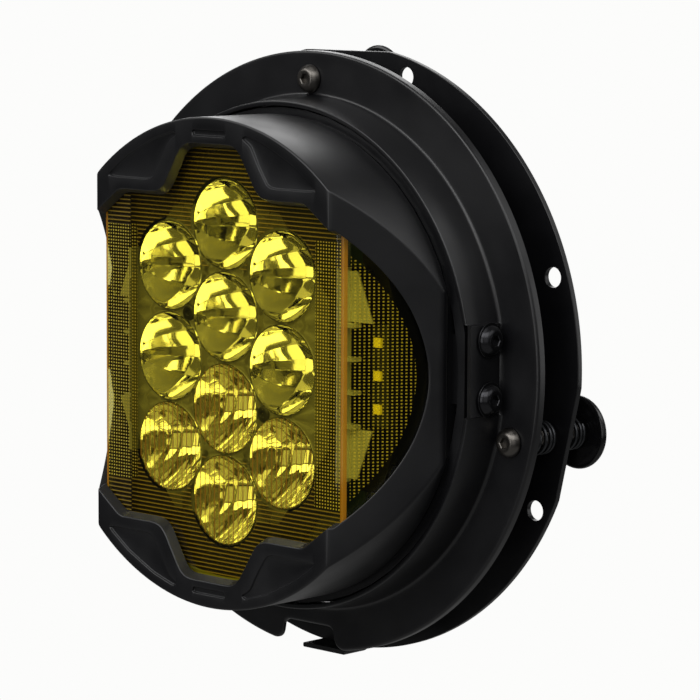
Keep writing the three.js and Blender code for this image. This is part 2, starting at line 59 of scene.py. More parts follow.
back = np.array(
    [
        math.sin(AZIMUTH) * math.cos(ELEVATION),
        -math.cos(AZIMUTH) * math.cos(ELEVATION),
        math.sin(ELEVATION),
    ]
)
level = np.array([math.cos(AZIMUTH), math.sin(AZIMUTH), 0.0])
upright = np.cross(back, level)
right = math.cos(ROLL) * level + math.sin(ROLL) * upright
up = math.cos(ROLL) * upright - math.sin(ROLL) * level
place = np.eye(4)
place[:3, :4] = np.stack([right, up, back, TARGET + DISTANCE * back], axis=1)
camera = bpy.data.objects.new("camera", bpy.data.cameras.new("camera"))
camera.data.lens = 171.31
camera.data.sensor_width = 36
camera.data.clip_start = 0.05
bpy.context.collection.objects.link(camera)
camera.matrix_world = place.T.tolist()
bpy.context.scene.camera = camera

# ---- floor, room and lights -------------------------------------------------
# A pale seamless floor well below the lamp, in a dim room with large soft boxes.
# The boxes stand where the side walls and the cups mirror them, and the flat front does not.


def linear(code):
    """An sRGB colour written #rrggbb, as linear red, green, blue and alpha 1."""
    value = np.array([int(code[i : i + 2], 16) for i in (1, 3, 5)]) / 255
    low = value / 12.92
    high = ((value + 0.055) / 1.055) ** 2.4
    return (*np.where(value <= 0.04045, low, high).tolist(), 1.0)


def add(tree, kind, links=None, **settings):
    """One node of this kind. Settings are its own properties; links fill its sockets with values or
    with other nodes' sockets."""
    node = tree.nodes.new(kind)
    for key, value in settings.items():
        setattr(node, key, value)
    for socket, value in (links or {}).items():
        if isinstance(value, bpy.types.NodeSocket):
            tree.links.new(value, node.inputs[socket])
        else:
            node.inputs[socket].default_value = value
    return node


PAPER = linear("#fcfcfb")
floor_paint = bpy.data.materials.new("floor_glow_with_painted_light_pool")
floor_paint.use_nodes = True
tree = floor_paint.node_tree
tree.nodes.clear()
# Painted light: the floor glows evenly pale to the camera, and to every other ray it glows with a painted pool of
# light, 0.26 near the lamp fading to 0.04 further out.
seen = add(tree, "ShaderNodeLightPath").outputs["Is Camera Ray"]
where = add(tree, "ShaderNodeTexCoord").outputs["Object"]
away = add(tree, "ShaderNodeVectorMath", {0: where}, operation="LENGTH").outputs["Value"]
fade = {0: away, 1: 1.0, 2: 2.6, 3: 0.26, 4: 0.04}
pool = add(tree, "ShaderNodeMapRange", fade, interpolation_type="SMOOTHSTEP")
lit = add(tree, "ShaderNodeEmission", {"Color": PAPER, "Strength": pool.outputs[0]}).outputs[0]
glow = add(tree, "ShaderNodeEmission", {"Color": PAPER, "Strength": 1.0}).outputs[0]
shade = add(tree, "ShaderNodeMixShader", {0: seen, 1: lit, 2: glow}).outputs[0]
add(tree, "ShaderNodeOutputMaterial", {"Surface": shade})

sheet = bpy.data.meshes.new("floor")
sheet.from_pydata([(-20, -20, -0.7), (20, -20, -0.7), (20, 20, -0.7), (-20, 20, -0.7)], [], [(0, 1, 2, 3)])
sheet.materials.append(floor_paint)
floor = bpy.data.objects.new("floor", sheet)
bpy.context.collection.objects.link(floor)

world = bpy.data.worlds.new("studio")
world.use_nodes = True
bpy.context.scene.world = world
tree = world.node_tree
tree.nodes.clear()
seen = add(tree, "ShaderNodeLightPath").outputs["Is Camera Ray"]
dim = add(tree, "ShaderNodeBackground", {"Color": linear("#ffffff"), "Strength": 0.13}).outputs[0]
pale = add(tree, "ShaderNodeBackground", {"Color": PAPER, "Strength": 1.0}).outputs[0]
shade = add(tree, "ShaderNodeMixShader", {0: seen, 1: dim, 2: pale}).outputs[0]
add(tree, "ShaderNodeOutputWorld", {"Surface": shade})
bpy.context.scene.view_settings.view_transform = "Standard"


def softbox(name, direction, distance, width, height, radiance):
    """A soft box that far from the lamp in that direction, facing it, with the brightness its face shows."""
    away = np.array(direction, float)
    away /= np.linalg.norm(away)
    lamp = bpy.data.lights.new(name, "AREA")
    lamp.shape = "RECTANGLE"
    lamp.size, lamp.size_y = width, height
    lamp.energy = radiance * math.pi * width * height
    box = bpy.data.objects.new(name, lamp)
    side = np.cross([0.0, 0.0, 1.0], away)
    side /= np.linalg.norm(side)
    turn = np.eye(4)
    turn[:3, :4] = np.stack([side, np.cross(away, side), away, away * distance], axis=1)
    bpy.context.collection.objects.link(box)
    box.matrix_world = turn.T.tolist()


# Azimuth from the front and elevation of each box in degrees, and how bright its face is.
BOXES = {
    "behind_left_high": (-135, 40, 2.2),
    "behind_left": (-135, 5, 2.5),
    "behind_right_high": (135, 40, 1.0),
    "behind_right": (135, 5, 1.0),
    "right_high": (90, 40, 1.2),
    "overhead": (0, 75, 0.7),
    "front_high": (0, 40, 3.4),
    "front": (0, 5, 1.5),
    "front_right_high": (45, 40, 2.8),
    "front_left_high": (-45, 40, 2.5),
    "front_right": (45, 5, 0.5),
}
for name, (round_to, above, radiance) in BOXES.items():
    a, e = math.radians(round_to), math.radians(above)
    away = (math.sin(a) * math.cos(e), -math.cos(a) * math.cos(e), math.sin(e))
    softbox(f"softbox_{name}", away, 2.2, 1.3, 1.2, radiance)

# ---- bezel --------------------------------------------------------------------
# Die-cast aluminium frame over the lens, shot-blasted and painted satin black.
# It screws to the housing from behind, so its face shows only the sunk pockets.

MM = 0.001
FACE_Y = -66
POD_R = 79.8
POD_FLAT_X = 75
FOLD_X = 53.5
SLOPE = 1.38
BEZEL_BACK_Y = -34.5
LAND = 3.6
WINDOW_R = 71
FOLD_SOFT = 0.5


def front_y(x):
    """Where the folded front lies: flat out to the folds, then falling back, with a hyperbola for the
    soft corner."""
    past = np.abs(x) - FOLD_X
    return FACE_Y + SLOPE * (past + np.sqrt(past**2 + FOLD_SOFT**2)) / 2


def rounded(line, cut, steps=5, closed=False):
    """A line of points with each corner swapped for a parabola that leaves its sides at the cut distance."""
    line = np.asarray(line, float)
    before, after = np.roll(line, 1, axis=0) - line, np.roll(line, -1, axis=0) - line
    reach = [np.linalg.norm(side, axis=1, keepdims=True) for side in (before, after)]
    size = np.broadcast_to(np.asarray(cut, float).reshape(-1, 1), (len(line), 1))
    first, last = [
        line + side / far * np.minimum(size, 0.48 * far) for side, far in zip((before, after), reach)
    ]
    t = np.linspace(0, 1, steps)[None, :, None]
    bends = first[:, None] * (1 - t) ** 2 + line[:, None] * 2 * t * (1 - t) + last[:, None] * t**2
    if closed:
        return bends.reshape(-1, line.shape[1])
    return np.concatenate([line[:1], bends[1:-1].reshape(-1, line.shape[1]), line[-1:]])


def lengths(line):
    """How far along its whole length each point of a line is, from 0 to 1."""
    run = np.concatenate([[0], np.cumsum(np.linalg.norm(np.diff(line, axis=0), axis=1))])
    return run / run[-1]


def follow(line, part):
    """The points at those parts of a line's length, straight between its own points."""
    return np.stack([np.interp(part, lengths(line), column) for column in line.T], axis=1)


def skin(grid, around=False, along=False):
    """Quads between neighbours of a (rows, columns, 3) grid. Around joins the columns' ends and along
    joins the rows' ends."""
    rows, columns = grid.shape[:2]
    r = np.arange(rows if along else rows - 1)[:, None]
    c = np.arange(columns if around else columns - 1)[None, :]
    below, beside = (r + 1) % rows, (c + 1) % columns
    quads = np.stack(
        [r * columns + c, r * columns + beside, below * columns + beside, below * columns + c], axis=-1
    )
    return grid.reshape(-1, 3), quads.reshape(-1, 4)


def build(name, parts, material, sharp=35, outward=True):
    """One mesh from (points, quads) parts in millimetres. Equal points are welded and the corners that
    fall together dropped; outward turns a part over if the volume it encloses comes out negative."""
    points, quads, start = [], [], 0
    for spots, faces in parts:
        a, b, c, d = (spots[faces[:, k]] for k in range(4))
        volume = np.einsum("ij,ij->", a, np.cross(b, c) + np.cross(c, d))
        quads.append((faces[:, ::-1] if outward and volume < 0 else faces) + start)
        points.append(spots)
        start += len(spots)
    points, quads = np.concatenate(points), np.concatenate(quads)
    _, first, same = np.unique(np.round(points, 4), axis=0, return_index=True, return_inverse=True)
    points, quads = points[first], same.reshape(-1)[quads]
    keep = quads != np.roll(quads, 1, axis=1)
    whole = keep.sum(axis=1) >= 3
    quads, keep = quads[whole], keep[whole]
    counts = keep.sum(axis=1)
    mesh = bpy.data.meshes.new(name)
    mesh.vertices.add(len(points))
    mesh.vertices.foreach_set("co", (points * MM).astype(np.float32).ravel())
    mesh.loops.add(int(counts.sum()))
    mesh.loops.foreach_set("vertex_index", quads[keep].astype(np.int32))
    mesh.polygons.add(len(counts))
    mesh.polygons.foreach_set("loop_start", np.concatenate([[0], np.cumsum(counts)[:-1]]).astype(np.int32))
    mesh.update(calc_edges=True)
    mesh.validate()
    mesh.shade_smooth()
    mesh.set_sharp_from_angle(angle=math.radians(sharp))
    mesh.materials.append(material)
    piece = bpy.data.objects.new(name, mesh)
    bpy.context.collection.objects.link(piece)
    return piece


def grained(name, colour, metallic, roughness, grain, depth, cloud=0.06):
    """A finish whose bump is grain millimetres across and depth millimetres deep, with slow roughness clouds."""
    material = bpy.data.materials.new(name)
    material.use_nodes = True
    tree = material.node_tree
    tree.nodes.clear()
    where = add(tree, "ShaderNodeTexCoord").outputs["Object"]
    grains = {"Vector": where, "Scale": 1000 / grain, "Detail": 3.0, "Roughness": 0.6}
    fine = add(tree, "ShaderNodeTexNoise", grains)
    slow = add(tree, "ShaderNodeTexNoise", {"Vector": where, "Scale": 60.0, "Detail": 4.0})
    gloss = add(
        tree,
        "ShaderNodeMapRange",
        {0: slow.outputs["Fac"], 1: 0.3, 2: 0.7, 3: roughness - cloud, 4: roughness + cloud},
    )
    lighter = tuple(1.25 * c for c in linear(colour)[:3]) + (1,)
    clouds = {"Factor": slow.outputs["Fac"], "A": linear(colour), "B": lighter}
    tint = add(tree, "ShaderNodeMix", clouds, data_type="RGBA")
    bump = add(
        tree, "ShaderNodeBump", {"Height": fine.outputs["Fac"], "Distance": depth * MM, "Strength": 0.7}
    )
    surface = add(
        tree,
        "ShaderNodeBsdfPrincipled",
        {
            "Base Color": tint.outputs["Result"],
            "Metallic": metallic,
            "Roughness": gloss.outputs[0],
            "Normal": bump.outputs[0],
        },
    )
    add(tree, "ShaderNodeOutputMaterial", {"Surface": surface.outputs[0]})
    return material


satin_cast_paint = grained("satin_paint_on_cast_aluminium", "#0a0a0c", 0.0, 0.36, 0.5, 0.012)

fold_z = math.sqrt(POD_R**2 - FOLD_X**2)
inner_top = rounded(
    [
        [0, 69.9],
        [9.2, 69.9],
        [12, 69.1],
        [14, 67.2],
        [18.3, 60],
        [20.4, 56.4],
        [22.6, 54.2],
        [25.6, 53.3],
        [42.6, 53.3],
        [FOLD_X, 45.4],
    ],
    2.2,
)
turn = np.linspace(math.atan2(45.4, 54.59), 0, 40)
inner_side = np.concatenate([[[FOLD_X, 45.4]], WINDOW_R * np.stack([np.cos(turn), np.sin(turn)], axis=1)])
turn = np.linspace(math.pi / 2, math.atan2(fold_z, FOLD_X), 60)
outer_top = POD_R * np.stack([np.cos(turn), np.sin(turn)], axis=1)
flat_z = math.sqrt(POD_R**2 - POD_FLAT_X**2)
turn = np.linspace(math.atan2(fold_z, FOLD_X), math.atan2(flat_z, POD_FLAT_X), 30)
outer_side = np.concatenate([POD_R * np.stack([np.cos(turn), np.sin(turn)], axis=1), [[POD_FLAT_X, 0]]])


def matched(inner, outer, steps, near):
    """Parts of the length at which both lines are sampled: even steps, both lines' own points, and
    some near an end."""
    even = np.linspace(0, 1, steps)
    return np.unique(np.round(np.concatenate([even, lengths(inner), lengths(outer), near]), 5))


close = np.array([0.1, 0.25, 0.5, 0.9, 1.5]) / 70
top = matched(inner_top, outer_top, 130, 1 - close)
side = matched(inner_side, outer_side, 60, close)


def four_quarters(first, second):
    """A closed loop from a quarter, given as two lines that meet, by mirroring it over both axes."""
    quarter = np.concatenate([first, second[1:]])
    half = np.concatenate([quarter, quarter[-2::-1] * [1, -1]])
    return np.concatenate([half, half[-2:0:-1] * [-1, 1]])


inner = four_quarters(follow(inner_top, top), follow(inner_side, side))
outer = four_quarters(follow(outer_top, top), follow(outer_side, side))
span = np.linalg.norm(outer - inner, axis=1, keepdims=True)
ray = (outer - inner) / span

pocket = rounded(
    [
        [14.9, 73.3],
        [18.8, 71.2],
        [22.5, 64.6],
        [26.4, 58.9],
        [29, 58.2],
        [43.6, 58.2],
        [48.4, 58.6],
        [46.4, 60.6],
        [38.6, 66],
        [26.5, 71.9],
        [16.4, 75.0],
    ],
    1.6,
    closed=True,
)
slot = rounded([[-7.6, 73.4], [7.6, 73.4], [7.6, 75.8], [-7.6, 75.8]], 0.8, closed=True)


def crossed(outline):
    """Where each ray enters and leaves a closed outline, as distances from its inner end; NaN where
    it misses."""
    a, b = outline[None], np.roll(outline, -1, axis=0)[None]
    edge = b - a
    rel = a - inner[:, None]
    det = ray[:, None, 0] * edge[..., 1] - ray[:, None, 1] * edge[..., 0]
    det = np.where(np.abs(det) < 1e-9, 1e-9, det)
    along = (rel[..., 0] * edge[..., 1] - rel[..., 1] * edge[..., 0]) / det
    share = (rel[..., 0] * ray[:, None, 1] - rel[..., 1] * ray[:, None, 0]) / det
    hit = (share >= 0) & (share <= 1) & (along > 0) & (along < span)
    enter = np.where(hit, along, np.inf).min(axis=1)
    leave = np.where(hit, along, -np.inf).max(axis=1)
    missed = ~hit.any(axis=1) | (leave - enter < 0.9)
    return np.where(missed, np.nan, enter), np.where(missed, np.nan, leave)


flips = [(1, 1), (-1, 1), (1, -1), (-1, -1)]
found = [crossed(pocket * flip) for flip in flips] + [crossed(slot * [1, s]) for s in (1, -1)]
enter = np.nanmin(np.stack([f[0] for f in found] + [np.full(len(inner), 1e9)]), axis=0)
leave = np.nanmax(np.stack([f[1] for f in found] + [np.full(len(inner), -1e9)]), axis=0)
sunk = enter < 1e8
column = np.arange(len(inner))
enter = np.interp(column, column[sunk], enter[sunk])
leave = np.interp(column, column[sunk], leave[sunk])
inset = 1.3 + 0 * span[:, 0]
enter = np.clip(enter, inset + 0.5, span[:, 0] - 2.2)
leave = np.clip(leave, enter + 0.3, span[:, 0] - 1.2)

wall = np.array([0, 0.1, 0.35, 0.65, 0.9, 1])
slope = 3 * wall**2 - 2 * wall**3
rows = []


def at(distance, depth, floor_y=None):
    """One row of the bezel: that far out from the opening, that deep behind the folded front."""
    spot = inner + ray * np.asarray(distance).reshape(-1, 1)
    y = front_y(spot[:, 0]) + depth if floor_y is None else np.full(len(spot), floor_y)
    rows.append(np.stack([spot[:, 0], y, spot[:, 1]], axis=1))


EDGE = 0.55
corner = np.linspace(0, 1, 5)
at(0.0, LAND)
at(0.6, LAND / 2)
for t in corner:
    at(inset - 0.2 * EDGE * (1 - t) ** 2 + EDGE * t**2, EDGE * (1 - t) ** 2)
room = np.minimum(0.6, 0.45 * (leave - enter))
for w, s in zip(wall, slope):
    at(enter + room * w, 0.75 * s * sunk)
for w, s in zip(wall[::-1], slope[::-1]):
    at(leave - room * w, 0.75 * s * sunk)
for t in corner:
    at(span[:, 0] - 0.75 * (1 - t) ** 2, 0.75 * t**2)
reach = np.minimum(5.2, 0.6 * span[:, 0])
for t in corner:
    at(span[:, 0] - 0.4 * t**2, 0, BEZEL_BACK_Y - 0.4 * (1 - t) ** 2)
at(span[:, 0] - reach, 0, BEZEL_BACK_Y)
at(span[:, 0] - reach, LAND)
bezel = build("bezel_casting", [skin(np.stack(rows), around=True, along=True)], satin_cast_paint, sharp=50)
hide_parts("bezel")
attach(bezel, "lamp")

# ---- outer lens -----------------------------------------------------------------
# Yellow polycarbonate, injection moulded and folded at both sides like the bezel.
# Clear over the cups, ribbed above and below them, knurled with dots at the sides; ribs and dots are bumps in an
# opaque layer with painted glints and shade mixed over the clear plastic.

LENS_R = 72.4
LENS_FLAT_X = 71.7
LENS_T = 3
COATED_INDEX = 1.35
CUP_PITCH = 30
column_x = CUP_PITCH * math.cos(math.pi / 6)
CLEAR_R = 15.6
FLUTED_R = 14.6
FLUTE_PITCH = 2.2
RIB_PITCH = 1.4
DOT_PITCH_X = 1.2
WINDOW_DOT_PITCH_X = 0.88
DOT_PITCH_Z = 1.08
KNURL_X = 41.2
SKIN_LAP = 2.9
BAND_FROM_X = 52.4
BAND_TO_X = 54.2
WINDOW_X = 54.8
DOTTED_R = 67.2
RIM_R = 70.2


def shell(front, rear):
    """A closed solid between two grids of one size: both skins, and the strip round their border."""
    count = front.shape[0] * front.shape[1]
    index = np.arange(count).reshape(front.shape[:2])
    rim = np.concatenate([index[0, :-1], index[:-1, -1], index[-1, :0:-1], index[:0:-1, 0]])
    following = np.roll(rim, -1)
    strip = np.stack([rim, rim + count, following + count, following], axis=1)
    faces = skin(front)[1]
    points = np.concatenate([front.reshape(-1, 3), rear.reshape(-1, 3)])
    return points, np.concatenate([faces, faces[:, ::-1] + count, strip[:, ::-1]])


def both(values):
    """Those distances to the left and right of the middle, in order and once each."""
    return np.unique(np.concatenate([-np.asarray(values), values]))


near_fold = FOLD_X + np.linspace(-0.8, 0.8, 9)
x = both(np.concatenate([np.linspace(0, 52.5, 22), near_fold, np.linspace(55, LENS_FLAT_X, 12)]))
v = np.linspace(-1, 1, 61)
grid_x = np.broadcast_to(x[None], (61, len(x)))
grid_z = v[:, None] * np.sqrt(LENS_R**2 - grid_x**2)
sheet_front = np.stack([grid_x, front_y(grid_x) + LAND + 0.4, grid_z], axis=-1)
sheet_rear = sheet_front + [0, LENS_T, 0]

lens_plastic = bpy.data.materials.new("yellow_moulded_polycarbonate")
lens_plastic.use_nodes = True
tree = lens_plastic.node_tree
tree.nodes.clear()
axes = add(tree, "ShaderNodeSeparateXYZ", {0: add(tree, "ShaderNodeTexCoord").outputs["Object"]})


def maths(operation, a, b=0.0, c=0.0):
    """One Math node's result."""
    return add(tree, "ShaderNodeMath", {0: a, 1: b, 2: c}, operation=operation).outputs[0]


across = maths("MULTIPLY", maths("ABSOLUTE", axes.outputs["X"]), 1000)
height = maths("MULTIPLY", axes.outputs["Z"], 1000)
fallen = maths("MULTIPLY", maths("MAXIMUM", maths("SUBTRACT", across, FOLD_X), 0.0), SLOPE)
behind = maths("SUBTRACT", maths("MULTIPLY_ADD", axes.outputs["Y"], 1000, -FACE_Y), fallen)
on_rear = maths("GREATER_THAN", behind, LAND + 0.4 + LENS_T / 2)
on_front = maths("SUBTRACT", 1.0, on_rear)
on_far_front = maths("MULTIPLY", on_front, maths("LESS_THAN", axes.outputs["X"], -KNURL_X * MM))
on_near_rear = maths("MULTIPLY", on_rear, maths("GREATER_THAN", axes.outputs["X"], -(KNURL_X + SKIN_LAP) * MM))
on_skin = maths("MAXIMUM", on_far_front, on_near_rear)
tall = maths("ABSOLUTE", height)


def squared(up, x, z):
    """Square of the distance in millimetres from the spot x, z, with the height taken from up."""
    off_x, off_z = maths("SUBTRACT", across, x), maths("SUBTRACT", up, z)
    return maths("ADD", maths("POWER", off_x, 2), maths("POWER", off_z, 2))


past_corner = maths("GREATER_THAN", squared(tall, column_x, CUP_PITCH), CLEAR_R**2)
past_middle = maths("GREATER_THAN", squared(tall, 0.0, 1.5 * CUP_PITCH), CLEAR_R**2)
clear_of_cups = maths("MULTIPLY", past_corner, past_middle)
beside = maths("GREATER_THAN", across, KNURL_X)
above = maths("GREATER_THAN", tall, maths("MULTIPLY_ADD", beside, 11.5, 31))
before_fold = maths("LESS_THAN", across, BAND_FROM_X)
ribbed = maths("MULTIPLY", maths("MULTIPLY", clear_of_cups, above), before_fold)
knurled = maths("MULTIPLY", maths("MULTIPLY", beside, before_fold), maths("LESS_THAN", tall, 42.5))
band = maths("MULTIPLY", maths("GREATER_THAN", across, BAND_FROM_X), maths("LESS_THAN", across, BAND_TO_X))
radius = maths("SQRT", maths("ADD", maths("POWER", across, 2), maths("POWER", height, 2)))
window = maths("MULTIPLY", maths("GREATER_THAN", across, WINDOW_X), maths("LESS_THAN", radius, DOTTED_R))
rim = maths("GREATER_THAN", radius, RIM_R)

wave = maths("SINE", maths("MULTIPLY", height, 2 * math.pi / RIB_PITCH))
rib = maths("SMOOTH_MIN", maths("MULTIPLY_ADD", wave, 0.5, 0.5), 1.0, 0.2)
pitch = maths("MULTIPLY_ADD", window, WINDOW_DOT_PITCH_X - DOT_PITCH_X, DOT_PITCH_X)
dot_x = maths("SINE", maths("DIVIDE", maths("MULTIPLY", across, 2 * math.pi), pitch))
dot_z = maths("SINE", maths("MULTIPLY", height, 2 * math.pi / DOT_PITCH_Z))
dots = maths("MULTIPLY", maths("GREATER_THAN", dot_x, 0.25), maths("GREATER_THAN", dot_z, 0.15))

rib_share = maths("MULTIPLY", ribbed, maths("MULTIPLY_ADD", maths("POWER", rib, 3), 0.45, 0.35))
knurl_share = maths("MULTIPLY", knurled, maths("MULTIPLY_ADD", dots, 0.45, 0.35))
window_share = maths("MULTIPLY", window, maths("MULTIPLY", dots, 0.6))
band_share = maths("ADD", window_share, maths("MULTIPLY", band, 0.8))
share = maths("ADD", maths("ADD", rib_share, knurl_share), band_share)
share = maths("ADD", share, maths("MULTIPLY", rim, 0.7))
low_or_high = maths("MINIMUM", squared(height, 0.0, -1.5 * CUP_PITCH), squared(height, 0.0, -0.5 * CUP_PITCH))
nearest = maths("MINIMUM", squared(height, column_x, -CUP_PITCH), low_or_high)
over_flutes = maths("LESS_THAN", nearest, FLUTED_R**2)
gap = maths("COSINE", maths("MULTIPLY", across, 2 * math.pi / FLUTE_PITCH))
gaps = maths("MULTIPLY", over_flutes, maths("GREATER_THAN", gap, 0.72))
share = maths("ADD", share, maths("MULTIPLY", over_flutes, 0.05))
share = maths("ADD", share, maths("MULTIPLY", gaps, 0.6))
share = maths("MULTIPLY", maths("MINIMUM", share, 0.95), on_skin)

# Painted highlight and shade: rib crests painted bright as glints, the gaps between them painted dark brown as the
# shade of the housing behind the lens.
rib_glint_and_shade_tone = add(
    tree,
    "ShaderNodeMix",
    {"Factor": maths("POWER", rib, 4), "A": linear("#1d1404"), "B": linear("#9a7f20")},
    data_type="RGBA",
).outputs["Result"]
# Painted highlight and shade: the knurl dots painted pale as the light they catch, the ground between them painted
# dark as the shade behind the lens.
dot_glint_and_shade_tone = add(
    tree, "ShaderNodeMix", {"Factor": dots, "A": linear("#1f1903"), "B": linear("#d4bd3c")}, data_type="RGBA"
).outputs["Result"]
tone = dot_glint_and_shade_tone
in_flutes = maths("MAXIMUM", gaps, maths("MULTIPLY", over_flutes, 0.1))
for mask, paint in (
    (ribbed, rib_glint_and_shade_tone),
    (band, linear("#a86f0a")),
    (in_flutes, linear("#8a5c06")),
    (rim, linear("#6f6a14")),
):
    mixed = {"Factor": mask, "A": tone, "B": paint}
    tone = add(tree, "ShaderNodeMix", mixed, data_type="RGBA").outputs["Result"]

relief = maths("ADD", maths("MULTIPLY", ribbed, rib), maths("MULTIPLY", maths("ADD", knurled, window), dots))
bump = add(tree, "ShaderNodeBump", {"Height": relief, "Distance": 0.2 * MM, "Strength": 0.6}).outputs[0]
# This opaque layer over the clear lens carries painted glints and painted shade in place of light refracted through
# the ribs and dots.
moulded = add(
    tree, "ShaderNodeBsdfPrincipled", {"Base Color": tone, "Roughness": 0.3, "IOR": 1.58, "Normal": bump}
).outputs[0]
through = add(tree, "ShaderNodeBsdfTransparent", {"Color": linear("#fefac4")}).outputs[0]
shine = add(tree, "ShaderNodeBsdfGlossy", {"Color": linear("#ffffff"), "Roughness": 0.03}).outputs[0]
from_inside = add(tree, "ShaderNodeNewGeometry").outputs["Backfacing"]
index = maths("MULTIPLY_ADD", from_inside, 1 / COATED_INDEX - COATED_INDEX, COATED_INDEX)
fresnel = add(tree, "ShaderNodeFresnel", {"IOR": index}).outputs[0]
clear = add(tree, "ShaderNodeMixShader", {0: fresnel, 1: through, 2: shine}).outputs[0]
surface = add(tree, "ShaderNodeMixShader", {0: share, 1: clear, 2: moulded}).outputs[0]
add(tree, "ShaderNodeOutputMaterial", {"Surface": surface})

lens = build("lens_moulding", [shell(sheet_front, sheet_rear)], lens_plastic, sharp=30)
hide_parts("outer_lens")
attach(lens, "lamp")

# ---- reflector --------------------------------------------------------------------
# Moulded card of ten cups on a triangular pitch, metallised to a mirror.
# Six upper cups are free-form tiles for reach, four lower ones fluted for spread.

CUP_R = 14.85
CUP_FRONT_Y = -58.4
CUP_FLOOR_Y = -41.2
CUP_DEPTH = 17.4

mirror_coat = grained("vacuum_metallised_mirror_coat", "#e8e7e0", 1.0, 0.06, 6.0, 0.02, cloud=0.02)


def bowl(x, v, relief):
    """A cup over a disc: a paraboloid with a flat floor, plus the relief at each point, as front and rear grids."""
    grid_x = np.broadcast_to(x[None], (len(v), len(x)))
    grid_z = v[:, None] * np.sqrt(np.maximum(CUP_R**2 - grid_x**2, 0))
    share = (grid_x**2 + grid_z**2) / CUP_R**2
    y = CUP_FRONT_Y + CUP_DEPTH * (1 - share)
    y = y + relief(grid_x / CUP_R, grid_z / CUP_R, v[:, None]) * np.clip((1 - share) * 6, 0, 1)
    y = np.minimum(y, CUP_FLOOR_Y)
    front = np.stack([grid_x, y, grid_z], axis=-1)
    return front, front + [0, 0.55, 0]


TILE_X = np.array([-0.35, 0.2])
TILE_V = np.array([-0.55, -0.15, 0.12, 0.5])
TILT_X = np.array([[1.0, -1.5, 0.8, -1.0, 1.5], [-1.2, 1.5, -0.5, 1.2, -1.8], [1.5, -0.8, 1.0, -1.5, 0.5]])
TILT_Z = np.array([[1.5, -1.2, 1.0, 1.8, -1.5], [-1.5, 1.0, 2.0, -1.8, 1.0], [1.0, 2.0, -1.5, 1.2, -2.0]])
MIDDLE_X = np.array([-0.68, -0.07, 0.6])
MIDDLE_V = np.array([-0.78, -0.35, -0.02, 0.31, 0.75])


def tiled(x, z, v):
    """Free-form tiles: each cell of a curved checker leans by its own two slopes about its own middle."""
    i = np.searchsorted(TILE_X, x)
    j = np.broadcast_to(np.searchsorted(TILE_V, v), x.shape)
    off_x, off_z = x - MIDDLE_X[i], z - MIDDLE_V[j] * np.sqrt(1 - MIDDLE_X[i] ** 2)
    return TILT_X[i, j] * off_x + TILT_Z[i, j] * off_z + 0.55 * CUP_DEPTH * (off_x**2 + off_z**2)


def fluted(x, z, v):
    """Upright flutes of 2.4 mm, rounded outwards, with a shallow step across the middle."""
    flute = np.abs(np.sin(math.pi * x * CUP_R / 2.4))
    return -0.2 * flute + 0.6 * np.tanh(12 * (z - 0.1))


def split(edges, values):
    """The values, with each edge put in twice a hair apart so that a step there stays crisp."""
    return np.unique(np.concatenate([values, edges - 0.004, edges + 0.004]))


tile_bowl = bowl(split(TILE_X, np.linspace(-1, 1, 37)) * CUP_R, split(TILE_V, np.linspace(-1, 1, 37)), tiled)
flute_bowl = bowl(np.linspace(-1, 1, 97) * CUP_R, np.linspace(-1, 1, 31), fluted)

turn = np.linspace(0, 2 * math.pi, 144, endpoint=False)
facing = np.stack([np.cos(turn), np.sin(turn)])
rim_r = CUP_R + 0 * turn
tile_spots = [(0, 1.5), (0, 0.5), (-1, 1), (-1, 0), (1, 1), (1, 0)]
flute_spots = [(0, -0.5), (0, -1.5), (-1, -1), (1, -1)]
centres = np.array(tile_spots + flute_spots) * [column_x, CUP_PITCH]


def rings(centre, lines):
    """Closed rows round a cup's middle from (radius, y) pairs."""
    x, z = centre
    rows = [np.stack([r * facing[0] + x, y + 0 * turn, r * facing[1] + z], axis=1) for r, y in lines]
    return skin(np.stack(rows), around=True, along=True)


def cell(centre):
    """How far the card round a cup reaches each way: halfway to its neighbours, or to the card's outline."""
    away = np.delete(centres, np.argmin(np.hypot(*(centres - centre).T)), axis=0) - centre
    sides = [(d / np.hypot(*d), np.hypot(*d) / 2) for d in away]
    for nx, nz, far in ((1, 0, 46), (0, 1, 62), (0.77, 0.64, 50.6), (0.1, 0.995, 52)):
        for u, w in flips:
            sides.append((np.array([nx * u, nz * w]), far - nx * u * centre[0] - nz * w * centre[1]))
    gaps = [np.where(n @ facing > 1e-3, far / np.maximum(n @ facing, 1e-3), np.inf) for n, far in sides]
    return np.maximum(np.min(gaps, axis=0), CUP_R + 0.12)


parts, web_parts = [], []
for spots, cup in ((tile_spots, tile_bowl), (flute_spots, flute_bowl)):
    for column, row in spots:
        middle = np.array([column * column_x, row * CUP_PITCH])
        shift = np.array([middle[0], 0, middle[1]])
        parts.append(shell(cup[0] + shift, cup[1] + shift))
        bead = [(rim_r + 0.1, 0.35), (rim_r - 0.05, -0.15), (rim_r - 0.4, -0.15), (rim_r - 0.65, 0.6)]
        parts.append(rings(middle, [(r, y + CUP_FRONT_Y) for r, y in bead]))
        edge = cell(middle)
        card = [(edge, 0.3), (rim_r - 0.1, 0.3), (rim_r - 0.1, 1.0), (edge, 1.0)]
        web_parts.append(rings(middle, [(r, y + CUP_FRONT_Y) for r, y in card]))
reflector = build("reflector_moulding", parts, mirror_coat, sharp=25)
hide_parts("reflector")
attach(reflector, "lamp")

card_coat = grained("satin_metallised_card", "#5a584a", 0.1, 0.5, 0.8, 0.01)
web = build("reflector_card", web_parts, card_coat, sharp=25)
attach(web, "lamp")

# ---- front ring ---------------------------------------------------------------------
# Deep-drawn 1.5 mm steel: a raised boss round the pod, a flat flange and a rolled rim.
# Two pads are pressed flat at its sides for the pivot screws, and it is powder coated.

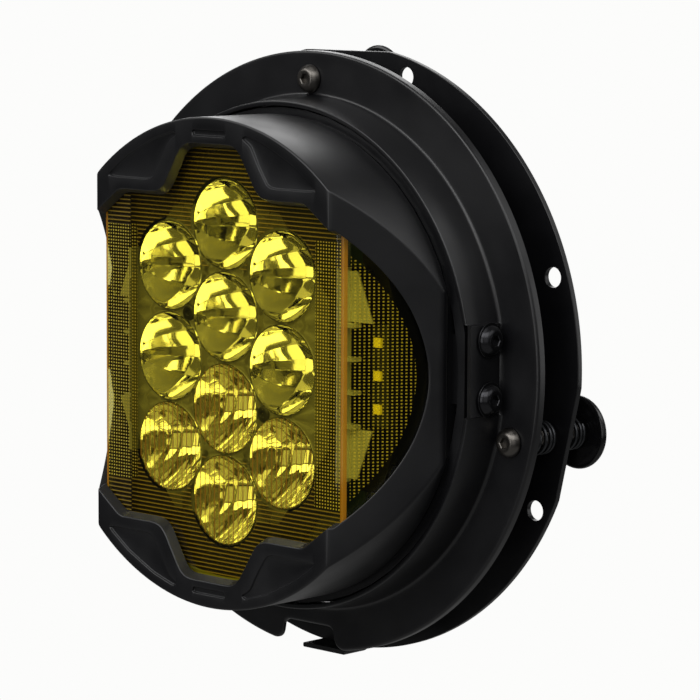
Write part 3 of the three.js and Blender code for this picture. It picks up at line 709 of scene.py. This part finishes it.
SHEET = 1.5
RING_R = 100
BOSS_FRONT_Y = -33.5
FLANGE_Y = -19.5
RING_LIP_Y = -16.4
PAD_X = 84.2
PAD_Z = 2.5
PAD_HALF_Z = 14.7

powder_coat = grained("satin_black_powder_coat_on_steel", "#0b0b0d", 0.0, 0.34, 0.6, 0.014)

fine = np.arange(0, 360, 0.75)
near_pad = np.concatenate([np.linspace(9.2, 12.6, 18), np.linspace(-9.6, -7.0, 14)])
near_notch = 270 + both(np.concatenate([np.linspace(6.4, 7.6, 14), np.linspace(7.7, 10, 10)]))
degrees = np.unique(np.round(np.concatenate([fine, near_pad % 360, 180 - near_pad, near_notch]), 3))
angle = np.radians(degrees)
cos, sin = np.cos(angle), np.sin(angle)
from_bottom = np.abs(degrees - 270)
notched = np.clip((7.25 - from_bottom) / 0.12, 0, 1)
notch_r = 91.5 / np.maximum(np.abs(sin), 0.5) + 1.6 * np.clip((from_bottom - 5.6) / 1.6, 0, 1) ** 2
lobe = np.clip((9.6 - from_bottom) / 2.3, 0, 1)
flange_r = RING_R - 3.4 * (1 - np.sqrt(1 - 0.98 * lobe**2)) * (1 - notched) + (notch_r - RING_R) * notched
open_rim = np.clip((9.2 - from_bottom) / 0.6, 0, 1)


def ring_row(r, y, pad=0.0):
    """One row of the ring: that radius and height all round, drawn out to the flat face where a pad is."""
    radius = np.broadcast_to(np.asarray(r, float), angle.shape)
    z = radius * sin - PAD_Z
    inside = np.clip((PAD_HALF_Z - np.abs(z)) / 0.5, 0, 1)
    inside = inside * inside * (3 - 2 * inside) * pad
    flat = (PAD_X - (1 - (radius > 83)) * SHEET) / np.maximum(np.abs(cos), 0.3)
    radius = radius + (flat - radius) * inside
    height = np.broadcast_to(np.asarray(y, float), angle.shape)
    return np.stack([radius * cos, height, radius * sin], axis=1)


boss_line = [[82.6, BOSS_FRONT_Y], [83.9, BOSS_FRONT_Y], [85.4, FLANGE_Y], [87.6, FLANGE_Y]]
outer_line = rounded(boss_line, [0, 0.45, 1.2, 0], 6)
rows = [ring_row(r, y, pad=1.0 if y < FLANGE_Y - 0.3 else (FLANGE_Y - y) / 0.3) for r, y in outer_line]
rim_line = rounded([[98.0, FLANGE_Y], [RING_R, FLANGE_Y], [RING_R, RING_LIP_Y]], [0, 1.2, 0], 7)
for r, y in rim_line:
    lip_y = np.minimum(y, FLANGE_Y + SHEET)
    rows.append(ring_row(flange_r + (r - RING_R), y + (lip_y - y) * open_rim))
edge_r = flange_r - SHEET * (1 - open_rim)
lip_end = RING_LIP_Y + (FLANGE_Y + SHEET - RING_LIP_Y) * open_rim
rows.append(ring_row(flange_r - 0.3, lip_end))
rows.append(ring_row(edge_r, lip_end))
rows.append(ring_row(edge_r - 0.3, FLANGE_Y + SHEET))
rows.append(ring_row(84.6, FLANGE_Y + SHEET))
rows.append(ring_row(83.6, FLANGE_Y + SHEET - 0.6, pad=1.0))
rows.append(ring_row(82.4, BOSS_FRONT_Y + 0.1, pad=1.0))
ring = build("front_ring_pressing", [skin(np.stack(rows), around=True, along=True)], powder_coat, sharp=45)
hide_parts("front_ring")
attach(ring, "lamp")

# ---- mounting plate -------------------------------------------------------------------
# Laser-cut 2 mm steel ring with eight 6.5 mm bolt holes, powder coated like the ring.
# Three short straight edges are trimmed beside the adjusters; the foot is bent forward.

PLATE_R = 101.5
PLATE_T = 2
PLATE_BORE_R = 84.5
CHORD_R = 99.7
BOLT_R = 95.5
BOLT_ANGLES = [73.9, 106.1, 18.7, 161.3, 331.9, 208.1, 284.5, 255.5]
ADJUSTER_R = 90.8
ADJUSTER_ANGLES = {"top": 90.0, "right": 346.9, "left": 193.1}


def plate_edge(degrees):
    """The plate's outer radius at each angle: round, but cut straight across beside each adjuster."""
    radius = np.full(np.shape(degrees), float(PLATE_R))
    for middle in ADJUSTER_ANGLES.values():
        off = np.radians((degrees - middle + 180) % 360 - 180)
        chord = CHORD_R / np.cos(np.clip(off, -1, 1))
        radius = np.minimum(radius, np.where(np.abs(off) < 0.4, chord, PLATE_R))
    return radius


holes = [(BOLT_R, a, 3.25) for a in BOLT_ANGLES] + [(ADJUSTER_R, 90.0, 4.0)]
holes += [(ADJUSTER_R, ADJUSTER_ANGLES["right"], 3.4), (ADJUSTER_R, ADJUSTER_ANGLES["left"], 3.4)]
holes.sort(key=lambda hole: hole[1])
CELL = 3.4


def flat_grid(radius, degrees):
    """Points in the plate's plane from polar coordinates."""
    a = np.radians(degrees)
    return np.stack([radius * np.cos(a), 0 * a - PLATE_T / 2, radius * np.sin(a)], axis=-1)


def hole_cell(middle_r, middle_a, hole_r):
    """The plate round one hole: a fan from the hole's edge to the four sides of a piece of the ring."""
    k = np.linspace(-1, 1, 17)[:-1]
    side_a = np.concatenate([1 + 0 * k, -k, -1 + 0 * k, k]) * CELL + middle_a
    side_r = np.concatenate([k, 1 + 0 * k, -k, -1 + 0 * k]) * 0.5 + 0.5
    outer_r = plate_edge(side_a)
    border = flat_grid(PLATE_BORE_R + side_r * (outer_r - PLATE_BORE_R), side_a)
    centre = flat_grid(np.array(middle_r), np.array(middle_a))
    out = border - centre
    circle = centre + hole_r * out / np.linalg.norm(out, axis=1, keepdims=True)
    t = np.linspace(0, 1, 5)[:, None, None]
    points, quads = skin(circle * (1 - t) + border * t, around=True)
    return points, quads[:, ::-1]


parts = [hole_cell(*hole) for hole in holes]
for this, following in zip(holes, holes[1:] + [(0, holes[0][1] + 360, 0)]):
    start, end = this[1] + CELL, following[1] - CELL
    a = np.linspace(start, end, max(2, round((end - start) / 0.8)))[None]
    t = np.linspace(0, 1, 17)[:, None]
    parts.append(skin(flat_grid(PLATE_BORE_R + t * (plate_edge(a) - PLATE_BORE_R), a + 0 * t)))
plate = build("mounting_plate_blank", parts, powder_coat, sharp=30, outward=False)
thick = plate.modifiers.new("thickness", "SOLIDIFY")
thick.thickness = PLATE_T * MM
thick.offset = 0
soft = plate.modifiers.new("edge", "BEVEL")
soft.width = 0.25 * MM
soft.segments = 2
soft.limit_method = "ANGLE"
soft.angle_limit = math.radians(60)
soft.harden_normals = True
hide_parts("mounting_plate")
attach(plate, "mount")

bend = rounded([[-0.2, -98.5], [-0.4, -101.4], [-12, -101.4]], [0, 2.0, 0], 8)
normal = np.gradient(bend, axis=0)
normal = np.stack([normal[:, 1], -normal[:, 0]], axis=1) / np.linalg.norm(normal, axis=1, keepdims=True)
lip_x = np.array([-9.7, -9.4, 9.4, 9.7])
taper = np.array([0.4, 0.75, 0.75, 0.4])
lip_front, lip_rear = [
    np.stack(
        [
            np.broadcast_to(lip_x, (len(bend), 4)),
            bend[:, :1] + s * normal[:, :1] * taper,
            bend[:, 1:] + s * normal[:, 1:] * taper,
        ],
        axis=-1,
    )
    for s in (1, -1)
]
lip = build("mounting_plate_lip", [shell(lip_front, lip_rear)], powder_coat)
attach(lip, "mount")

# ---- button-head screws ------------------------------------------------------------------
# M5 button heads with a hexagon socket: black oxide at the pivot pads, bare steel at the flange.
# The flange screws carry the aiming springs and run back through the plate to the thumb knobs.

HEAD_R = 4.75
HEAD_H = 2.75
M5_R = 2.5

black_oxide = grained("black_oxide_on_alloy_steel", "#2a2a2c", 0.85, 0.2, 0.4, 0.004)
phosphate_black = grained("black_phosphate_on_steel", "#080808", 0.0, 0.5, 0.5, 0.004)
zinc_steel = grained("dark_zinc_plated_steel", "#5b5854", 1.0, 0.34, 0.4, 0.006)


def lathe(profile, turns=64):
    """A surface of revolution: a line of [radius, y] points turned round Y, as a grid."""
    a = np.linspace(0, 2 * math.pi, turns, endpoint=False)
    rows = [np.stack([r * np.cos(a), y + 0 * a, r * np.sin(a)], axis=1) for r, y in profile]
    return np.stack(rows)


def button_screw(length, pitch=0.8, flange=0.0, grow=1.0):
    """Head, hexagon socket and threaded shank; the thread is a saw wave that winds up the shank."""
    a = np.linspace(0, 2 * math.pi, 72, endpoint=False)
    hexagon = 1.5 / np.cos(a % (math.pi / 3) - math.pi / 6)
    arch = [[2.15, -HEAD_H], [3.1, -HEAD_H], [4.3, -1.5], [HEAD_R, -0.35], [HEAD_R, 0]]
    dome = rounded(arch, [0, 1.2, 1.3, 0.4, 0], 6)
    rows = [(0 * a, -HEAD_H + 1.6), (hexagon, -HEAD_H + 1.45)]
    rows += [(hexagon, -HEAD_H + 0.25), (hexagon + 0.2, -HEAD_H + 0.05)]
    dome = dome * [grow, 1]
    rows += [(r + 0 * a, y) for r, y in dome[:-1]]
    if flange:
        rows += [(HEAD_R * grow + 0 * a, -0.5), (flange - 0.1 + 0 * a, -0.5), (flange + 0 * a, -0.4)]
    rows += [(max(flange, HEAD_R * grow) + 0 * a, 0), (M5_R + 0.2 + 0 * a, 0), (M5_R + 0 * a, 0.2)]
    steps = np.arange(0.6, length - 0.6, pitch / 5)
    saw = [(M5_R - 0.32 * np.abs(((y / pitch + a / (2 * math.pi)) % 1) * 2 - 1), y) for y in steps]
    rows += saw + [(M5_R - 0.35 + 0 * a, length - 0.4), (M5_R - 0.7 + 0 * a, length), (0 * a, length)]
    return np.stack([np.stack([r * np.cos(a), y + 0 * a, r * np.sin(a)], axis=1) for r, y in rows])


for side_name, side in (("right", 1), ("left", -1)):
    for spot, z in (("upper", PAD_Z + 9.4), ("lower", PAD_Z - 9.4)):
        screw = button_screw(13.0, flange=5.7, grow=1.06)
        turned = np.stack([-side * screw[..., 1], side * screw[..., 0], screw[..., 2]], axis=-1)
        node = f"side_screw_{side_name}_{spot}"
        seated = turned + [side * (PAD_X + 0.3), -25, z]
        head = build(node + "_turned", [skin(seated, around=True)], black_oxide)
        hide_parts(node)
        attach(head, "lamp")

for number, (x, z) in enumerate([(-2 * column_x / 3, CUP_PITCH / 2), (2 * column_x / 3, -CUP_PITCH / 2)], 1):
    pan = [[0, -58.2], [0.9, -58.2], [1.1, -58.85], [2.2, -58.85], [2.8, -58.3]]
    pan += [[2.8, -57.7], [1.2, -57.7], [1.2, -36], [0, -36]]
    pan = rounded(pan, [0, 0.1, 0.1, 0.5, 0.3, 0.1, 0.1, 0.1, 0], 4)
    seated = lathe(pan, 36) + [x, 0, z]
    head = build(f"reflector_screw_{number}_turned", [skin(seated, around=True)], phosphate_black)
    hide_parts(f"reflector_screw_{number}")
    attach(head, "lamp")

for name, degrees_at in ADJUSTER_ANGLES.items():
    x, z = ADJUSTER_R * math.cos(math.radians(degrees_at)), ADJUSTER_R * math.sin(math.radians(degrees_at))
    screw = button_screw(19 + 19.8) + [x, FLANGE_Y - 0.3, z]
    head = build(f"adjuster_screw_{name}_turned", [skin(screw, around=True)], zinc_steel)
    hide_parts(f"adjuster_screw_{name}")
    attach(head, "lamp" if name == "top" else "side_adjusters")

# ---- aiming springs --------------------------------------------------------------------------
# Compression springs of 1.3 mm wire, closed at both ends, blackened and oiled.
# One sits in front of the plate and one behind it on each flange screw.

SPRING_R = 4.85
WIRE_R = 0.65

spring_wire = grained("blackened_spring_wire", "#3a3b3d", 0.9, 0.3, 0.5, 0.004)


def coil(start, end):
    """Wire on a helix about Y whose pitch closes up at both ends, and whose section stays square to it."""
    t = np.linspace(0, 1, 180)
    turns = (end - start) / 3.0 + 1.2
    rise = t + 0.06 * np.sin(2 * math.pi * t) * -1
    y = start + WIRE_R + rise * (end - start - 2 * WIRE_R)
    a = 2 * math.pi * turns * t
    path = np.stack([SPRING_R * np.cos(a), y, SPRING_R * np.sin(a)], axis=1)
    along = np.gradient(path, axis=0)
    along /= np.linalg.norm(along, axis=1, keepdims=True)
    out = np.stack([np.cos(a), 0 * a, np.sin(a)], axis=1)
    bi = np.cross(along, out)
    s = np.linspace(0, 2 * math.pi, 12, endpoint=False)
    wire = np.concatenate([[0], np.full(178, WIRE_R), [0]])[:, None, None]
    section = out[:, None] * np.cos(s)[None, :, None] + bi[:, None] * np.sin(s)[None, :, None]
    return path[:, None] + wire * section


for name, degrees_at in ADJUSTER_ANGLES.items():
    x, z = ADJUSTER_R * math.cos(math.radians(degrees_at)), ADJUSTER_R * math.sin(math.radians(degrees_at))
    for place_name, start, end in (("front", -17.7, -2.3), ("rear", 0.3, 12.1)):
        node = f"{place_name}_spring_{name}"
        spring = build(node + "_wound", [skin(coil(start, end) + [x, 0, z], around=True)], spring_wire)
        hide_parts(node)
        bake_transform(spring)

# ---- thumb knobs ---------------------------------------------------------------------------------
# Pressed discs with a rolled rim on a threaded hub, painted gloss black.
# Turning one draws that side of the lamp back against its springs.

KNOB_Y = 12.4
knob_paint = grained("gloss_black_enamel_on_steel", "#0c0c0d", 0.0, 0.16, 0.8, 0.006)
for name, degrees_at in ADJUSTER_ANGLES.items():
    x, z = ADJUSTER_R * math.cos(math.radians(degrees_at)), ADJUSTER_R * math.sin(math.radians(degrees_at))
    rim_r = 10.4 if name == "top" else 12
    rows = [[2.8, 0.3], [3.6, 0], [rim_r - 2.6, 0.2], [rim_r - 1, 0], [rim_r, 0.6], [rim_r, 1.6]]
    rows += [[rim_r - 1, 2.2], [rim_r - 2.6, 1.7], [5, 2.0], [5, 6.2], [2.8, 6.2]]
    line = rounded(rows, 0.5, 5, closed=True) + [0, KNOB_Y]
    disc = skin(lathe(line, 96) + [x, 0, z], around=True, along=True)
    knob = build(f"thumb_knob_{name}_pressing", [disc], knob_paint)
    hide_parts(f"thumb_knob_{name}")
    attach(knob, f"knob_{name}")

# ---- electronics, housing and small parts ------------------------------------------------------------
# The finned housing is cast and painted like the bezel; the gland and breather are moulded nylon.
# Boards are glass-fibre laminate, the emitters carry a phosphor film, the screws are black steel.

nylon = grained("black_moulded_nylon", "#141414", 0.0, 0.5, 0.9, 0.02)
rubber = grained("black_moulded_silicone_rubber", "#0e0e0e", 0.0, 0.75, 0.6, 0.02)
dark_mask = grained("black_solder_mask_on_laminate", "#1a1a10", 0.0, 0.4, 0.5, 0.01)
green_mask = grained("green_solder_mask_on_laminate", "#0d2016", 0.0, 0.35, 0.5, 0.01)
raw_aluminium = grained("milled_aluminium", "#a6a9ab", 1.0, 0.36, 0.7, 0.01)
phosphor = grained("yellow_phosphor_film", "#f0dc3c", 0.0, 0.45, 0.2, 0.01)
tray_coat = grained("metallised_tray_with_painted_deep_shade", "#d9d8cf", 0.6, 0.35, 2.0, 0.02, cloud=0.03)
# Painted shade: the tray is pale metallised in front and painted near black behind y = -50.5 mm, as the shade that
# falls inside the housing.
tree = tray_coat.node_tree
where = add(tree, "ShaderNodeTexCoord").outputs["Object"]
depth = add(tree, "ShaderNodeSeparateXYZ", {0: where}).outputs["Y"]
deep = add(tree, "ShaderNodeMapRange", {0: depth, 1: -0.0507, 2: -0.0503, 3: 0.0, 4: 1.0}).outputs[0]
shades = {"Factor": deep, "A": linear("#d9d8cf"), "B": linear("#14130c")}
tray_tone_with_painted_shade = add(tree, "ShaderNodeMix", shades, data_type="RGBA").outputs["Result"]
tree.links.new(tray_tone_with_painted_shade, next(n for n in tree.nodes if n.type == "BSDF_PRINCIPLED").inputs["Base Color"])

finishes = {
    "bezel_screw": black_oxide,
    "reflector_screw": black_oxide,
    "led_board": green_mask,
    "led_emitter": phosphor,
    "led_carrier": raw_aluminium,
    "driver_board": green_mask,
    "side_tray": tray_coat,
    "side_led_board": dark_mask,
    "side_led_right": phosphor,
    "side_led_left": phosphor,
    "housing": satin_cast_paint,
    "gland": nylon,
    "vent_plug": nylon,
    "lens_gasket": rubber,
}
for node_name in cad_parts:
    node = bpy.data.objects.get(node_name)
    for start, material in finishes.items():
        if node is not None and node_name.startswith(start):
            for slot_index in range(len(node.material_slots)):
                node.material_slots[slot_index].material = material
